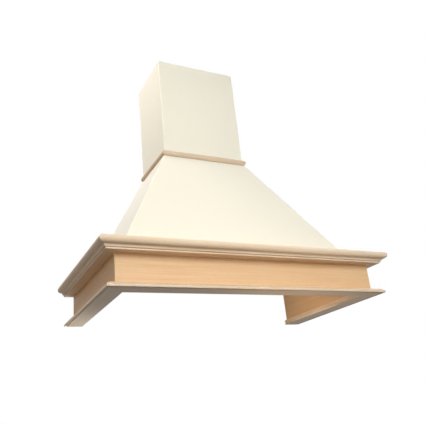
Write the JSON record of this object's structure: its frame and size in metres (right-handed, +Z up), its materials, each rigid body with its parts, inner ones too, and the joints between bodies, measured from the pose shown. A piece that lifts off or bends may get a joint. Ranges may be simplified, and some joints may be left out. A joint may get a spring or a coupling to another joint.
{
  "type": "chimney range hood",
  "caption": "Wall-hung chimney range hood: painted steel pyramid canopy and flue cover on a moulded wooden surround, with blower, grease filters and lamps.",
  "frame": {"origin": "middle of the footprint, on the plane of the surround's lower edge, from which the hood's height above the hob is measured", "axes": "+X along the wall to the viewer's right, +Y into the wall, +Z up"},
  "size_m": [0.9, 0.495, 0.9],
  "materials": {
    "beech_wood": "clear satin lacquer over straight grain",
    "cream_paint": "smooth satin cream paint",
    "zinc_steel": "plain zinc plate",
    "panel_steel": "brushed",
    "screw_steel": "bright zinc",
    "black_plastic": "fine moulded texture",
    "motor_steel": "plain pressed steel",
    "white_plastic": "plain moulded",
    "filter_aluminium": "satin",
    "bright_steel": "polished",
    "lamp_glass": "frosted",
    "button_plastic": "fine moulded texture"
  },
  "bodies": {
    "hood": {"back_plate": "zinc_steel", "blower_mount_plate": "zinc_steel", "blower_screws": "screw_steel", "button_plate": "black_plastic", "cable_gland": "black_plastic", "canopy_shell": "cream_paint", "capacitor": "white_plastic", "flap_pin": "screw_steel", "front_base_moulding": "beech_wood", "front_crown_moulding": "beech_wood", "front_fascia_board": "beech_wood", "front_trim": "beech_wood", "lamp_bulbs": "lamp_glass", "left_base_moulding": "beech_wood", "left_corner_block": "beech_wood", "left_crown_moulding": "beech_wood", "left_fascia_board": "beech_wood", "left_keeper_spring": "screw_steel", "left_lamp_bezel": "bright_steel", "left_lamp_cup": "bright_steel", "left_lamp_glass": "lamp_glass", "left_scroll_half": "black_plastic", "left_trim": "beech_wood", "lower_flue_cover": "cream_paint", "motor": "motor_steel", "motor_spider": "zinc_steel", "outlet_collar": "black_plastic", "panel_screws": "screw_steel", "right_base_moulding": "beech_wood", "right_corner_block": "beech_wood", "right_crown_moulding": "beech_wood", "right_fascia_board": "beech_wood", "right_keeper_spring": "screw_steel", "right_lamp_bezel": "bright_steel", "right_lamp_cup": "bright_steel", "right_lamp_glass": "lamp_glass", "right_scroll_half": "black_plastic", "right_trim": "beech_wood", "suction_panel": "panel_steel", "switch_box": "black_plastic", "terminal_box": "white_plastic", "terminal_lid": "white_plastic"},
    "impeller_wheel": {"impeller": "black_plastic", "motor_shaft": "screw_steel"},
    "left_flap_valve": {"left_flap": "black_plastic"},
    "right_flap_valve": {"right_flap": "black_plastic"},
    "upper_flue": {"upper_flue_cover": "cream_paint", "flue_bracket": "zinc_steel"},
    "left_filter": {"left_filter_frame": "filter_aluminium", "left_filter_mesh": "filter_aluminium"},
    "left_latch": {"left_filter_latch": "black_plastic"},
    "right_filter": {"right_filter_frame": "filter_aluminium", "right_filter_mesh": "filter_aluminium"},
    "right_latch": {"right_filter_latch": "black_plastic"},
    "push_button_1": {"button_1": "button_plastic"},
    "push_button_2": {"button_2": "button_plastic"},
    "push_button_3": {"button_3": "button_plastic"},
    "push_button_4": {"button_4": "button_plastic"},
    "push_button_5": {"button_5": "button_plastic"}
  },
  "joints": [
    {"name": "impeller_spin", "type": "hinge", "parent": "hood", "child": "impeller_wheel", "pos_m": [0, 0.0925, 0.329], "axis": [1, 0, 0], "continuous": true},
    {"name": "left_flap_hinge", "type": "hinge", "parent": "hood", "child": "left_flap_valve", "pos_m": [0, 0.1415, 0.549], "axis": [0, 1, 0], "range_deg": [0, 75]},
    {"name": "right_flap_hinge", "type": "hinge", "parent": "hood", "child": "right_flap_valve", "pos_m": [0, 0.1415, 0.549], "axis": [0, -1, 0], "range_deg": [0, 75]},
    {"name": "upper_flue_slide", "type": "slide", "parent": "hood", "child": "upper_flue", "axis": [0, 0, 1], "range_m": [0, 0.25]},
    {"name": "left_filter_tilt", "type": "hinge", "parent": "hood", "child": "left_filter", "pos_m": [-0.168, 0.2228, 0.112], "axis": [1, 0, 0], "range_deg": [0, 80], "deforming": ["left_keeper_spring"]},
    {"name": "left_latch_slide", "type": "slide", "parent": "left_filter", "child": "left_latch", "axis": [0, 1, 0], "range_m": [0, 0.006], "stiffness_N_per_m": 400},
    {"name": "right_filter_tilt", "type": "hinge", "parent": "hood", "child": "right_filter", "pos_m": [0.168, 0.2228, 0.112], "axis": [1, 0, 0], "range_deg": [0, 80], "deforming": ["right_keeper_spring"]},
    {"name": "right_latch_slide", "type": "slide", "parent": "right_filter", "child": "right_latch", "axis": [0, 1, 0], "range_m": [0, 0.006], "stiffness_N_per_m": 400},
    {"name": "button_1_press", "type": "slide", "parent": "hood", "child": "push_button_1", "axis": [0, 0, 1], "range_m": [0, 0.003], "stiffness_N_per_m": 400},
    {"name": "button_2_press", "type": "slide", "parent": "hood", "child": "push_button_2", "axis": [0, 0, 1], "range_m": [0, 0.003], "stiffness_N_per_m": 400},
    {"name": "button_3_press", "type": "slide", "parent": "hood", "child": "push_button_3", "axis": [0, 0, 1], "range_m": [0, 0.003], "stiffness_N_per_m": 400},
    {"name": "button_4_press", "type": "slide", "parent": "hood", "child": "push_button_4", "axis": [0, 0, 1], "range_m": [0, 0.003], "stiffness_N_per_m": 400},
    {"name": "button_5_press", "type": "slide", "parent": "hood", "child": "push_button_5", "axis": [0, 0, 1], "range_m": [0, 0.003], "stiffness_N_per_m": 400}
  ]
}
